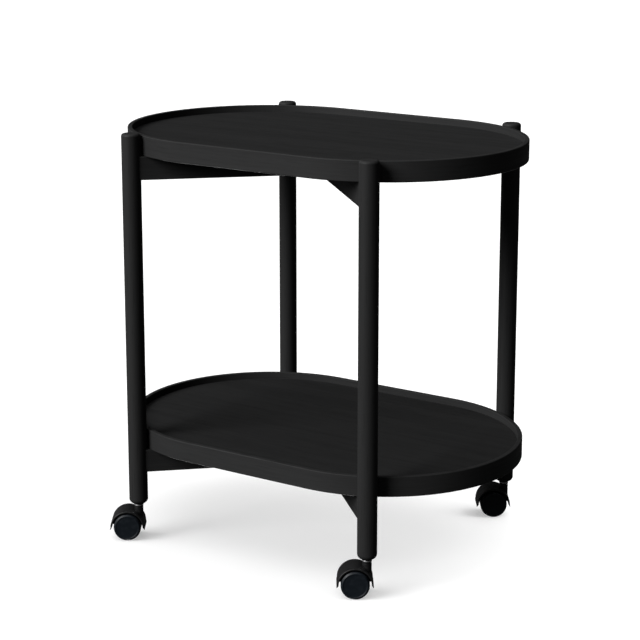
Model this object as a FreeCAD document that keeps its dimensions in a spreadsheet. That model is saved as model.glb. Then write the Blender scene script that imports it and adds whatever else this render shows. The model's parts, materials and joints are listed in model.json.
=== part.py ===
"""Two-tier oval tray table: a crossed folding frame on castors that carries two loose, reversible trays.

The origin is on the floor under the middle of the table, +X along the trays, +Z up, in millimetres.
"""
import FreeCAD, Part
import math
import os
import Sketcher
from FreeCAD import Vector

# Driving sizes: alias, number (millimetres, or degrees for an angle), what it is
SIZES = [
    ("tray_length", 610, "tray, end to end"),
    ("tray_width", 404, "tray, side to side; its ends are half circles"),
    ("rim_height", 29, "bent rim, bottom to top"),
    ("rim_wall", 7, "bent rim, thickness"),
    ("rim_outer_round", 3, "rounding of the rim's outer edges"),
    ("rim_inner_round", 1.5, "rounding of the rim's inner edges"),
    ("groove_depth", 3, "how far the panel enters the rim"),
    ("groove_clear", 0.15, "room round the panel in its groove"),
    ("core_thick", 7.4, "tray panel without its faces"),
    ("face_thick", 0.8, "veneer face on each side of the panel"),
    ("face_clear", 0.15, "room between veneer face and rim"),
    ("leg_dia", 27.5, "turned leg"),
    ("leg_length", 549.5, "turned leg, foot to top"),
    ("leg_top_round", 4, "rounding of the leg's top edge"),
    ("leg_foot_dia", 14.6, "flat under the leg's foot"),
    ("leg_foot_rise", 7, "rounding of the leg's foot, up its side"),
    ("leg_place", 63.5, "where the legs stand round the tray's end, from the long axis"),
    ("leg_tray_gap", 0.5, "room between tray and leg"),
    ("bar_height", 34, "crossed bar, bottom to top"),
    ("bar_thick", 18, "crossed bar, thickness"),
    ("bar_round", 1.5, "rounding of the bar's long edges"),
    ("lower_bar_rise", 49, "leg foot to the underside of the lower bars"),
    ("leg_stand", 3.5, "leg's top above the upper tray's rim"),
    ("shoulder_gap", 0.1, "glue line between bar and leg"),
    ("tenon_height", 24, "tenon on each end of a bar"),
    ("tenon_thick", 10, "tenon on each end of a bar"),
    ("tenon_root", 3, "depth of the tenon's root inside the bar"),
    ("tenon_clear", 0.1, "room round the tenon in its mortise"),
    ("tenon_end_gap", 0.5, "tenon's end to the leg's axis"),
    ("fold_range", 68, "how far the frame folds"),
    ("lap_room", 2, "spare length of the lap beyond the folded crossing"),
    ("bolt_dia", 6, "pivot bolt, shank"),
    ("bolt_head_dia", 12, "pivot bolt, head"),
    ("bolt_head_height", 3.4, "pivot bolt, head"),
    ("bolt_hex", 4, "hexagon socket across its flats"),
    ("bolt_hex_depth", 2, "hexagon socket depth"),
    ("head_recess", 4.2, "depth of the recess for the bolt's head"),
    ("head_clear", 0.5, "room round the bolt's head and the nut's flange"),
    ("nut_dia", 8.5, "sleeve nut, barrel"),
    ("nut_flange_dia", 13, "sleeve nut, flange"),
    ("nut_flange_height", 2.4, "sleeve nut, flange"),
    ("nut_sink", 0.8, "how far the nut's flange lies inside the bar"),
    ("pivot_washer_dia", 16, "washer between the two laps"),
    ("pivot_washer_thick", 1, "washer between the two laps"),
    ("fit_clear", 0.03, "radial room of a fixed pin or sleeve"),
    ("run_clear", 0.06, "radial room of a turning pin"),
    ("end_gap", 0.3, "room at the end of a blind bore"),
    ("wheel_dia", 40, "castor wheel"),
    ("wheel_width", 16, "castor wheel"),
    ("wheel_bevel", 2.2, "bevel round the wheel's outer face"),
    ("wheel_lip", 3.6, "raised ring round the wheel's outer face, bevel included"),
    ("wheel_dish", 0.5, "depth of the face inside its raised ring"),
    ("wheel_skin", 3.2, "thickness of the wheel's tread and face"),
    ("wheel_hub_dia", 10, "wheel's inner hub"),
    ("wheel_side_gap", 0.6, "wheel to the hood's web"),
    ("axle_dia", 5, "axle through the web"),
    ("hood_gap", 2.6, "wheel to the inside of its hood"),
    ("hood_wall", 2.2, "hood wall"),
    ("hood_width", 38, "hood, side to side"),
    ("hood_round", 1, "rounding of the hood's side edges"),
    ("hood_lip_drop", 3.5, "how far the hood's lips reach below the axle"),
    ("hood_lip_flare", 0.7, "how far the hood's lips lean out"),
    ("web_thick", 6, "web between the two wheels"),
    ("web_hub_dia", 13, "web round the axle"),
    ("castor_trail", 16.2, "swivel axis to axle"),
    ("castor_heading", 214, "way the castors trail, from the long axis"),
    ("post_dia", 13, "swivel post on the hood"),
    ("post_rise", 5, "swivel post above the hood's crown"),
    ("post_ring_drop", 2.2, "top of the post to its ring groove"),
    ("post_ring_width", 1.2, "ring groove round the post"),
    ("post_ring_depth", 0.7, "ring groove round the post"),
    ("swivel_gap", 0.1, "hood to washer"),
    ("washer_dia", 14, "bright washer under the leg"),
    ("washer_thick", 1.4, "bright washer under the leg"),
    ("pin_dia", 6, "stem's lower pin, in the post"),
    ("pin_length", 14.6, "stem's lower pin, in the post"),
    ("stem_dia", 8, "stem's threaded end, in the socket"),
    ("stem_length", 18, "stem's threaded end, in the socket"),
    ("socket_dia", 11, "socket sleeve in the leg"),
    ("socket_length", 23, "socket sleeve in the leg"),
    ("collar_dia", 14, "socket's collar under the leg"),
    ("collar_height", 1.7, "socket's collar under the leg"),
]

doc = FreeCAD.newDocument("tray_table")
sheet = doc.addObject("Spreadsheet::Sheet", "Sizes")
sub_parts = []


class Size:
    """A length or angle: its number now, and the formula that gives it from the sheet."""

    def __init__(self, number, formula):
        self.number = number
        self.formula = formula

    def __add__(self, other):
        other = as_size(other)
        return Size(self.number + other.number, f"({self.formula} + {other.formula})")

    def __sub__(self, other):
        other = as_size(other)
        return Size(self.number - other.number, f"({self.formula} - {other.formula})")

    def __mul__(self, factor):
        factor = as_size(factor)
        return Size(self.number * factor.number, f"({self.formula} * {factor.formula})")

    def __truediv__(self, divisor):
        divisor = as_size(divisor)
        return Size(self.number / divisor.number, f"({self.formula} / {divisor.formula})")

    def __neg__(self):
        return Size(-self.number, f"(-1 * {self.formula})")


def as_size(value):
    """A plain number counts as a fixed size."""
    if isinstance(value, Size):
        return value
    return Size(float(value), f"({value:.12f})")


def size(alias):
    """The driving size of that name."""
    numbers = {name: number for name, number, note in SIZES}
    return Size(float(numbers[alias]), f"Sizes.{alias}")


def angle(alias):
    """The driving angle of that name."""
    plain = size(alias)
    return Size(plain.number, f"({plain.formula} * 1 deg)")


def half_turn():
    return Size(180.0, "180 deg")


def cosine(turn):
    return Size(math.cos(math.radians(turn.number)), f"cos({turn.formula})")


def sine(turn):
    return Size(math.sin(math.radians(turn.number)), f"sin({turn.formula})")


def tangent(turn):
    return Size(math.tan(math.radians(turn.number)), f"tan({turn.formula})")


def arc_tangent(rise, run):
    number = math.degrees(math.atan(rise.number / run.number))
    return Size(number, f"atan({rise.formula} / {run.formula})")


def hypotenuse(one, other):
    square_sum = one * one + other * other
    return Size(math.sqrt(square_sum.number), f"sqrt({square_sum.formula})")


def fill_sheet():
    """Write each driving size as a named cell with its note beside it."""
    for row, (alias, number, note) in enumerate(SIZES, start=1):
        sheet.set(f"A{row}", note)
        sheet.set(f"B{row}", str(number))
        sheet.setAlias(f"B{row}", alias)
    doc.recompute()


def new_body(label, x=0, y=0, z=0, turn=None):
    """An empty sub-part that stands at x, y, z and is turned about the vertical."""
    body = doc.addObject("PartDesign::Body", label)
    body.Label = label
    x, y, z = as_size(x), as_size(y), as_size(z)
    turn = turn or Size(0.0, "0 deg")
    place = f"vector({x.formula}; {y.formula}; {z.formula})"
    body.setExpression("Placement", f"placement({place}; rotation(vector(0; 0; 1); {turn.formula}))")
    sub_parts.append(body)
    return body


def new_sketch(body, plane, lift=None):
    """A sketch on one of the body's own planes, lifted along the plane's normal."""
    sketch = body.newObject("Sketcher::SketchObject", f"{body.Label}_sketch")
    support = [item for item in body.Origin.OriginFeatures if item.Role == plane][0]
    sketch.AttachmentSupport = (support, [""])
    sketch.MapMode = "FlatFace"
    if lift is not None:
        sketch.setExpression("AttachmentOffset.Base.z", lift.formula)
    return sketch


def tie(sketch, kind, geometry, where, value):
    """Hold a point's coordinate, or a radius, at its formula."""
    if where is None:
        index = sketch.addConstraint(Sketcher.Constraint(kind, geometry, value.number))
    elif abs(value.number) < 1e-9:
        axis = -2 if kind == "DistanceX" else -1
        sketch.addConstraint(Sketcher.Constraint("PointOnObject", geometry, where, axis))
        return
    else:
        index = sketch.addConstraint(Sketcher.Constraint(kind, geometry, where, value.number))
    sketch.setExpression(f"Constraints[{index}]", value.formula)


def arc_between(start, end, radius, turn):
    """The shorter arc from start to end; turn is 1 for anticlockwise and -1 for clockwise."""
    chord = end - start
    middle = (start + end) * 0.5
    height = math.sqrt(max(0.0, radius * radius - chord.Length * chord.Length / 4))
    side = Vector(-chord.y, chord.x, 0).normalize()
    centre = middle + side * height * turn
    first, last = (start, end) if turn > 0 else (end, start)
    angles = [math.atan2(point.y - centre.y, point.x - centre.x) for point in (first, last)]
    return Part.ArcOfCircle(Part.Circle(centre, Vector(0, 0, 1), radius), angles[0], angles[1])


def draw_outline(sketch, corners):
    """A closed outline. A corner is (u, v), or (u, v, radius, turn) where an arc arrives at it."""
    corners = [[as_size(part) for part in corner] for corner in corners]
    points = [Vector(corner[0].number, corner[1].number, 0) for corner in corners]
    edges = []
    for index in range(len(corners)):
        following = (index + 1) % len(corners)
        arrival = corners[following][2:]
        if arrival:
            radius, turn = arrival[0], arrival[1].number
            arc = arc_between(points[index], points[following], radius.number, turn)
            geometry = sketch.addGeometry(arc, False)
            edges.append((geometry, 1, 2) if turn > 0 else (geometry, 2, 1))
        else:
            line = Part.LineSegment(points[index], points[following])
            edges.append((sketch.addGeometry(line, False), 1, 2))
    for index, (geometry, begin, finish) in enumerate(edges):
        following = edges[(index + 1) % len(edges)]
        sketch.addConstraint(Sketcher.Constraint("Coincident", geometry, finish, following[0], following[1]))
    for index, (geometry, begin, finish) in enumerate(edges):
        tie(sketch, "DistanceX", geometry, begin, corners[index][0])
        tie(sketch, "DistanceY", geometry, begin, corners[index][1])
        arrival = corners[(index + 1) % len(corners)][2:]
        if arrival:
            tie(sketch, "Radius", geometry, None, arrival[0])


def draw_circle(sketch, u, v, radius):
    u, v, radius = as_size(u), as_size(v), as_size(radius)
    circle = Part.Circle(Vector(u.number, v.number, 0), Vector(0, 0, 1), radius.number)
    geometry = sketch.addGeometry(circle, False)
    tie(sketch, "DistanceX", geometry, 3, u)
    tie(sketch, "DistanceY", geometry, 3, v)
    tie(sketch, "Radius", geometry, None, radius)


def draw_rectangle(sketch, left, right, bottom, top):
    draw_outline(sketch, [(left, bottom), (right, bottom), (right, top), (left, top)])


def draw_stadium(sketch, centre, radius):
    """An oval with straight sides: half circles about two centres on the long axis."""
    reach = centre + radius
    draw_outline(sketch, [
        (-centre, -radius, radius, 1), (centre, -radius),
        (reach, 0, radius, 1), (centre, radius, radius, 1),
        (-centre, radius), (-reach, 0, radius, 1),
    ])


def finish_feature(body, feature, grows):
    """Recompute, and check that the feature added or removed material as it should."""
    before = body.Shape.Volume if body.Shape and not body.Shape.isNull() else 0.0
    doc.recompute()
    change = body.Shape.Volume - before
    if (change <= 0) if grows else (change >= 0):
        raise RuntimeError(f"{body.Label}: {feature.Name} changed the volume by {change:.3f}")
    return feature


def pad(body, sketch, length, symmetric=False):
    feature = body.newObject("PartDesign::Pad", f"{body.Label}_pad")
    feature.Profile = sketch
    feature.SideType = "Symmetric" if symmetric else "One side"
    feature.setExpression("Length", length.formula)
    return finish_feature(body, feature, grows=True)


def pocket(body, sketch, length=None, symmetric=False, towards_normal=False):
    """Cut to a depth, or right through where no depth is given."""
    feature = body.newObject("PartDesign::Pocket", f"{body.Label}_pocket")
    feature.Profile = sketch
    feature.SideType = "Symmetric" if symmetric else "One side"
    feature.Reversed = towards_normal
    if length is None:
        feature.Type = "ThroughAll"
    else:
        feature.setExpression("Length", length.formula)
    return finish_feature(body, feature, grows=False)


def turn_profile(body, sketch, cut=False):
    """Revolve a half profile about the sketch's upright axis, as a solid or as a groove."""
    kind = "Groove" if cut else "Revolution"
    feature = body.newObject(f"PartDesign::{kind}", f"{body.Label}_turned")
    feature.Profile = sketch
    feature.ReferenceAxis = (sketch, ["V_Axis"])
    feature.Angle = 360
    return finish_feature(body, feature, grows=not cut)


def fillet(body, radius, wanted):
    """Round every edge of the body so far for which wanted(edge) is true."""
    base = body.Tip
    names = [f"Edge{n}" for n, edge in enumerate(base.Shape.Edges, start=1) if wanted(edge)]
    feature = body.newObject("PartDesign::Fillet", f"{body.Label}_round")
    feature.Base = (base, names)
    feature.setExpression("Radius", radius.formula)
    return finish_feature(body, feature, grows=False)


def near(one, other):
    return abs(one - other) < 0.01


def turned(label, plane, corners, x=0, y=0, z=0, turn=None):
    """A sub-part turned on a lathe from one half profile."""
    body = new_body(label, x, y, z, turn)
    sketch = new_sketch(body, plane)
    draw_outline(sketch, corners)
    turn_profile(body, sketch)
    return body


# Sizes that several pieces share
leg_radius = size("leg_dia") / 2
end_radius = size("tray_width") / 2
end_centre = (size("tray_length") - size("tray_width")) / 2
leg_reach = end_radius + size("leg_tray_gap") + leg_radius
leg_x = end_centre + leg_reach * cosine(angle("leg_place"))
leg_y = leg_reach * sine(angle("leg_place"))
bar_turn = arc_tangent(leg_y, leg_x)
half_span = hypotenuse(leg_x, leg_y)
folded_crossing = arc_tangent(leg_x, leg_y) * 2 - angle("fold_range")
lap_half = size("bar_thick") / 2 / tangent(folded_crossing / 2) + size("lap_room")
lap_thick = (size("bar_height") - size("pivot_washer_thick")) / 2

wheel_radius = size("wheel_dia") / 2
hood_inside = wheel_radius + size("hood_gap")
hood_outside = hood_inside + size("hood_wall")
post_top = wheel_radius + hood_outside + size("post_rise")
washer_bottom = post_top + size("swivel_gap")
collar_bottom = washer_bottom + size("washer_thick")
foot = collar_bottom + size("collar_height")
pin_radius = size("pin_dia") / 2
stem_radius = size("stem_dia") / 2
axle_radius = size("axle_dia") / 2
wheel_inner_face = size("web_thick") / 2 + size("wheel_side_gap")
axle_bore = size("wheel_width") - size("wheel_skin") - size("wheel_dish")

lower_bar_bottom = foot + size("lower_bar_rise")
upper_rim_top = foot + size("leg_length") - size("leg_stand")
upper_bar_bottom = upper_rim_top - size("rim_height") - size("bar_height")
TIERS = (("lower", lower_bar_bottom), ("upper", upper_bar_bottom))

# Each corner: its name, the sign of its x and y, the turn towards the middle, the way its castor trails
heading = angle("castor_heading")
CORNERS = (
    ("front_left", -1, -1, bar_turn, heading),
    ("front_right", 1, -1, half_turn() - bar_turn, heading),
    ("back_left", -1, 1, -bar_turn, -heading),
    ("back_right", 1, 1, half_turn() + bar_turn, heading),
)


def leg(corner, x, y, inward):
    """A turned leg with a socket bore in its foot and a mortise for each bar on its inner side."""
    radius_in = size("socket_dia") / 2 + size("fit_clear")
    depth = size("socket_length") + size("end_gap")
    length, top_round = size("leg_length"), size("leg_top_round")
    flat, rise = size("leg_foot_dia") / 2, size("leg_foot_rise")
    inset = leg_radius - flat
    foot_round = (rise * rise + inset * inset) / (inset * 2)
    body = turned(f"leg_{corner}", "XZ_Plane", [
        (radius_in, 0), (flat, 0),
        (leg_radius, rise, foot_round, 1), (leg_radius, length - top_round),
        (leg_radius - top_round, length, top_round, 1), (0, length), (0, depth), (radius_in, depth),
    ], x, y, foot, inward)
    half_width = size("tenon_thick") / 2 + size("tenon_clear")
    below = (size("bar_height") - size("tenon_height")) / 2 - size("tenon_clear")
    mortises = new_sketch(body, "YZ_Plane")
    for tier, bar_bottom in TIERS:
        bottom = bar_bottom - foot + below
        top = bottom + size("tenon_height") + size("tenon_clear") * 2
        draw_rectangle(mortises, -half_width, half_width, bottom, top)
    pocket(body, mortises, towards_normal=True)


def bar(label, bar_bottom, turn, lap_on_top):
    """A bar of the cross: halved at the crossing, coped to the legs, with a tenon on each end."""
    height, thick = size("bar_height"), size("bar_thick")
    body = new_body(label, 0, 0, bar_bottom, turn)
    side = new_sketch(body, "XZ_Plane")
    if lap_on_top:
        halving = [(-lap_half, 0), (-lap_half, height - lap_thick), (lap_half, height - lap_thick), (lap_half, 0)]
        corners = [(-half_span, 0), *halving, (half_span, 0), (half_span, height), (-half_span, height)]
    else:
        halving = [(lap_half, height), (lap_half, lap_thick), (-lap_half, lap_thick), (-lap_half, height)]
        corners = [(-half_span, 0), (half_span, 0), (half_span, height), *halving, (-half_span, height)]
    draw_outline(side, corners)
    pad(body, side, thick, symmetric=True)

    def long_edge(edge):
        box = edge.BoundBox
        along = near(box.YLength, 0) and near(box.ZLength, 0)
        outer = near(abs(box.YMin), thick.number / 2)
        return along and outer and (near(box.ZMin, 0) or near(box.ZMin, height.number))

    fillet(body, size("bar_round"), long_edge)
    copes = new_sketch(body, "XY_Plane")
    for end in (-1, 1):
        draw_circle(copes, half_span * end, 0, leg_radius + size("shoulder_gap"))
    pocket(body, copes, towards_normal=True)
    tenons = new_sketch(body, "XZ_Plane")
    bottom = (height - size("tenon_height")) / 2
    root = half_span - leg_radius - size("tenon_root")
    tip = half_span - size("tenon_end_gap")
    for left, right in ((root, tip), (-tip, -root)):
        draw_rectangle(tenons, left, right, bottom, bottom + size("tenon_height"))
    pad(body, tenons, size("tenon_thick"), symmetric=True)
    return body


def bore(body, radius, depth=None, lift=None):
    """A round hole on the pivot's axis: up from the underside, or down from a lifted plane."""
    sketch = new_sketch(body, "XY_Plane", lift)
    draw_circle(sketch, 0, 0, radius)
    pocket(body, sketch, depth, towards_normal=lift is None)


def crossing(tier, bar_bottom):
    """Two halved bars and the recessed bolt, washer and sleeve nut on which they fold."""
    height = size("bar_height")
    bolt_radius = size("bolt_dia") / 2
    nut_radius, flange_radius = size("nut_dia") / 2, size("nut_flange_dia") / 2
    head_radius = size("bolt_head_dia") / 2
    main = bar(f"{tier}_bar_main", bar_bottom, bar_turn, lap_on_top=False)
    bore(main, nut_radius + size("fit_clear"))
    bore(main, flange_radius + size("head_clear"), size("nut_sink") + size("nut_flange_height"))
    folding = bar(f"{tier}_bar_folding", bar_bottom, -bar_turn, lap_on_top=True)
    bore(folding, bolt_radius + size("run_clear"))
    bore(folding, head_radius + size("head_clear"), size("head_recess"), lift=height)

    flange_top = size("nut_sink") + size("nut_flange_height")
    barrel_top = lap_thick - size("end_gap")
    nut_bore = bolt_radius + size("fit_clear")
    turned(f"{tier}_pivot_nut", "XZ_Plane", [
        (0, size("nut_sink")), (flange_radius, size("nut_sink")), (flange_radius, flange_top),
        (nut_radius, flange_top), (nut_radius, barrel_top), (nut_bore, barrel_top),
        (nut_bore, flange_top), (0, flange_top),
    ], z=bar_bottom)
    turned(f"{tier}_pivot_washer", "XZ_Plane", [
        (nut_bore, lap_thick), (size("pivot_washer_dia") / 2, lap_thick),
        (size("pivot_washer_dia") / 2, lap_thick + size("pivot_washer_thick")),
        (nut_bore, lap_thick + size("pivot_washer_thick")),
    ], z=bar_bottom)
    seat = height - size("head_recess") + size("swivel_gap")
    head_top = seat + size("bolt_head_height")
    bolt = turned(f"{tier}_pivot_bolt", "XZ_Plane", [
        (0, flange_top + size("end_gap")), (bolt_radius, flange_top + size("end_gap")), (bolt_radius, seat),
        (head_radius, seat), (head_radius, head_top), (0, head_top),
    ], z=bar_bottom)
    key = new_sketch(bolt, "XY_Plane", head_top)
    key_reach = size("bolt_hex") / math.sqrt(3)
    sixths = [math.radians(60 * n) for n in range(6)]
    draw_outline(key, [(key_reach * math.cos(turn), key_reach * math.sin(turn)) for turn in sixths])
    pocket(bolt, key, size("bolt_hex_depth"))


def oval_plate(label, radius, thick, z):
    body = new_body(label, 0, 0, z)
    sketch = new_sketch(body, "XY_Plane")
    draw_stadium(sketch, end_centre, radius)
    pad(body, sketch, thick)


def tray(tier, bottom):
    """A bent rim with a groove at half its height, the panel in the groove and a face on each side of it."""
    inside = end_radius - size("rim_wall")
    in_groove = inside + size("groove_depth")
    height, core, face = size("rim_height"), size("core_thick"), size("face_thick")
    rim = new_body(f"{tier}_tray_rim", 0, 0, bottom)
    outline = new_sketch(rim, "XY_Plane")
    draw_stadium(outline, end_centre, end_radius)
    pad(rim, outline, height)
    opening = new_sketch(rim, "XY_Plane")
    draw_stadium(opening, end_centre, inside)
    pocket(rim, opening, towards_normal=True)

    def top_or_bottom(edge, radius):
        box = edge.BoundBox
        level = near(box.ZLength, 0) and (near(box.ZMin, 0) or near(box.ZMin, height.number))
        reach = max(abs(box.YMin), abs(box.YMax))
        return level and near(reach, radius)

    fillet(rim, size("rim_outer_round"), lambda edge: top_or_bottom(edge, end_radius.number))
    fillet(rim, size("rim_inner_round"), lambda edge: top_or_bottom(edge, inside.number))
    groove = new_sketch(rim, "XY_Plane", height / 2)
    draw_stadium(groove, end_centre, in_groove)
    pocket(rim, groove, core + size("groove_clear") * 2, symmetric=True)

    core_bottom = bottom + (height - core) / 2
    oval_plate(f"{tier}_tray_panel", in_groove - size("groove_clear"), core, core_bottom)
    oval_plate(f"{tier}_tray_top_face", inside - size("face_clear"), face, core_bottom + core)
    oval_plate(f"{tier}_tray_under_face", inside - size("face_clear"), face, core_bottom - face)


def castor_fixings(corner, x, y):
    """The socket in the leg, the stem screwed into it and the bright washer under its collar."""
    sleeve = size("socket_dia") / 2
    collar = size("collar_dia") / 2
    drop = -size("collar_height")
    thread_bore = stem_radius + size("fit_clear")
    bore_top = drop + size("stem_length") + size("end_gap")
    turned(f"castor_socket_{corner}", "XZ_Plane", [
        (thread_bore, drop), (collar, drop), (collar, 0), (sleeve, 0), (sleeve, size("socket_length")),
        (0, size("socket_length")), (0, bore_top), (thread_bore, bore_top),
    ], x, y, foot)
    shoulder = collar_bottom - post_top
    turned(f"castor_stem_{corner}", "XZ_Plane", [
        (0, -size("pin_length")), (pin_radius, -size("pin_length")), (pin_radius, shoulder),
        (stem_radius, shoulder), (stem_radius, shoulder + size("stem_length")),
        (0, shoulder + size("stem_length")),
    ], x, y, post_top)
    hole, rim = pin_radius + size("run_clear"), size("washer_dia") / 2
    turned(f"castor_washer_{corner}", "XZ_Plane", [
        (hole, 0), (rim, 0), (rim, size("washer_thick")), (hole, size("washer_thick")),
    ], x, y, washer_bottom)


def castor_hood(corner, x, y, trail_turn):
    """A moulded hood: a curved roof over both wheels, the web between them and the swivel post."""
    trail, web_hub = size("castor_trail"), size("web_hub_dia") / 2
    out, drop = hood_outside + size("hood_lip_flare"), wheel_radius - size("hood_lip_drop")
    half_width = size("hood_width") / 2
    body = new_body(f"castor_hood_{corner}", x, y, 0, trail_turn)
    roof = new_sketch(body, "XZ_Plane")
    draw_outline(roof, [
        (trail + hood_outside, wheel_radius), (trail, wheel_radius + hood_outside, hood_outside, 1),
        (trail - hood_outside, wheel_radius, hood_outside, 1), (trail - web_hub, wheel_radius),
        (trail, wheel_radius - web_hub, web_hub, 1), (trail + web_hub, wheel_radius, web_hub, 1),
    ])
    pad(body, roof, size("hood_width"), symmetric=True)

    def side_edge(edge):
        round_roof = hasattr(edge.Curve, "Radius") and near(edge.Curve.Radius, hood_outside.number)
        return round_roof and near(abs(edge.BoundBox.YMin), half_width.number)

    fillet(body, size("hood_round"), side_edge)
    lips = new_sketch(body, "XZ_Plane")
    for end in (-1, 1):
        inside, outside, tip = hood_inside * end + trail, hood_outside * end + trail, out * end + trail
        draw_outline(lips, [(inside, wheel_radius), (tip, drop), (outside, wheel_radius)])
    pad(body, lips, size("hood_width") - size("hood_round") * 2, symmetric=True)
    post_radius = size("post_dia") / 2
    post = new_sketch(body, "XY_Plane", wheel_radius)
    draw_circle(post, 0, 0, post_radius)
    pad(body, post, post_top - wheel_radius)
    half_web = size("web_thick") / 2
    for lift, towards_normal in ((-half_web, False), (half_web, True)):
        well = new_sketch(body, "XZ_Plane", lift)
        draw_circle(well, trail, wheel_radius, hood_inside)
        pocket(body, well, towards_normal=towards_normal)
    ring = new_sketch(body, "XZ_Plane")
    ring_top = post_top - size("post_ring_drop")
    draw_rectangle(ring, post_radius - size("post_ring_depth"), post_radius + size("post_ring_depth"),
                   ring_top - size("post_ring_width"), ring_top)
    turn_profile(body, ring, cut=True)
    pin_bore = new_sketch(body, "XY_Plane", post_top)
    draw_circle(pin_bore, 0, 0, pin_radius + size("run_clear"))
    pocket(body, pin_bore, size("pin_length") + size("end_gap"))
    axle_hole = new_sketch(body, "XZ_Plane")
    draw_circle(axle_hole, trail, wheel_radius, axle_radius + size("fit_clear"))
    pocket(body, axle_hole, symmetric=True)


def castor_wheels(corner, x, y, trail_turn):
    """The axle in the web and the wheel that runs on each end of it."""
    axle_x = x + size("castor_trail") * cosine(trail_turn)
    axle_y = y + size("castor_trail") * sine(trail_turn)
    axle_end = wheel_inner_face + axle_bore - size("end_gap")
    turned(f"castor_axle_{corner}", "XY_Plane", [
        (0, -axle_end), (axle_radius, -axle_end), (axle_radius, axle_end), (0, axle_end),
    ], axle_x, axle_y, wheel_radius, trail_turn)
    skin, bevel = size("wheel_skin"), size("wheel_bevel")
    hub, running = size("wheel_hub_dia") / 2, axle_radius + size("run_clear")
    inner, outer = wheel_inner_face, wheel_inner_face + size("wheel_width")
    dished = outer - size("wheel_dish")
    cavity = dished - skin
    disc = wheel_radius - size("wheel_lip")
    for name, side in (("far", -1), ("near", 1)):
        profile = [
            (running, inner), (hub, inner), (hub, cavity), (wheel_radius - skin, cavity),
            (wheel_radius - skin, inner), (wheel_radius, inner), (wheel_radius, outer - bevel),
            (wheel_radius - bevel, outer), (disc, outer), (disc - size("wheel_dish"), dished),
            (0, dished), (0, inner + axle_bore), (running, inner + axle_bore),
        ]
        mirrored = [(radius, as_size(along) * side) for radius, along in profile]
        turned(f"castor_wheel_{name}_{corner}", "XY_Plane", mirrored, axle_x, axle_y, wheel_radius, trail_turn)


def check_model():
    """Stop if any object failed, or if a sub-part isn't one valid solid."""
    for item in doc.Objects:
        if "Invalid" in item.State or "Error" in item.State:
            raise RuntimeError(f"{item.Label}: {item.State}")
    for body in sub_parts:
        shape = body.Shape
        if shape.isNull() or not shape.isValid() or len(shape.Solids) != 1:
            raise RuntimeError(f"{body.Label}: not one valid solid")


def main():
    fill_sheet()
    for corner, side_x, side_y, inward, trail_turn in CORNERS:
        x, y = leg_x * side_x, leg_y * side_y
        leg(corner, x, y, inward)
        castor_fixings(corner, x, y)
        castor_hood(corner, x, y, trail_turn)
        castor_wheels(corner, x, y, trail_turn)
    for tier, bar_bottom in TIERS:
        crossing(tier, bar_bottom)
        tray(tier, bar_bottom + size("bar_height"))
    doc.recompute()
    check_model()
    os.makedirs("parts", exist_ok=True)
    for body in sub_parts:
        body.Shape.exportStep(f"parts/{body.Label}.step")
    print(f"{len(sub_parts)} sub-parts written")


main()
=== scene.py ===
"""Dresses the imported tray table: turned legs, bent rims, castors, black finishes and a plain studio.

Lengths are in metres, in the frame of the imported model.
"""
import json
import math

import bmesh
import bpy
from bpy.props import FloatProperty, FloatVectorProperty, IntProperty, PointerProperty
from bpy.types import Operator, Panel, PropertyGroup
from mathutils import Matrix, Vector

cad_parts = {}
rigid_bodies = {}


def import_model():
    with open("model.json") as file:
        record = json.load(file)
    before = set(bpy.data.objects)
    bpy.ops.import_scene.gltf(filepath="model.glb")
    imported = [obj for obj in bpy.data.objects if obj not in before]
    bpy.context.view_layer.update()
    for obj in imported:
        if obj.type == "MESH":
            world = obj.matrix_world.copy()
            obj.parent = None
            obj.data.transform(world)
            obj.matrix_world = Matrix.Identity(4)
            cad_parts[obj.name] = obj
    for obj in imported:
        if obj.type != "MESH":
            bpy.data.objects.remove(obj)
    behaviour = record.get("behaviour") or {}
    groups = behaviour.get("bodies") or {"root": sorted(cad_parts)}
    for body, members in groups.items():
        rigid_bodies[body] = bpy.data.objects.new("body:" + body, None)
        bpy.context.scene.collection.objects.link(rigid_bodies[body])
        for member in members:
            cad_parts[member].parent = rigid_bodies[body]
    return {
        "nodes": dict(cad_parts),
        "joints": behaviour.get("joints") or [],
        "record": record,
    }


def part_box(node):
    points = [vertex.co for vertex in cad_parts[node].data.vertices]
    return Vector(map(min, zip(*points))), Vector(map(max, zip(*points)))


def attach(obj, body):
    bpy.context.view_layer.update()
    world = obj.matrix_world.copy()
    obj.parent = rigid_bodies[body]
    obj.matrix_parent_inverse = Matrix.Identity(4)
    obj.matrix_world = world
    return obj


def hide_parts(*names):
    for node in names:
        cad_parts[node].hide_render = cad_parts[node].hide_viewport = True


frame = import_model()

bl_info = {
    "name": "Tray Table",
    "version": (1, 0, 0),
    "blender": (4, 5, 0),
    "location": "3D View > Sidebar > Tray Table",
    "description": "Builds the visible pieces, finishes and studio of a two-tier tray table on castors",
    "category": "Object",
}

RECORD = frame["record"]
BODY_OF = {node: body for body, nodes in RECORD["behaviour"]["bodies"].items() for node in nodes}
JOINTS = {joint["name"]: joint for joint in frame["joints"]}
CORNERS = ("front_left", "front_right", "back_left", "back_right")
TIERS = ("upper", "lower")
WHEEL_SIDES = {"near": 1, "far": -1}

# Size of a streak along X, Y and Z in each kind of wood, before it is turned
LEG_GRAIN = (0.007, 0.007, 0.25)
BAR_GRAIN = (0.22, 0.006, 0.006)
RIM_GRAIN = (0.24, 0.24, 0.005)
VENEER_GRAIN = (0.26, 0.016, 0.016)
CORE_GRAIN = (0.012, 0.012, 0.0015)
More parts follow.
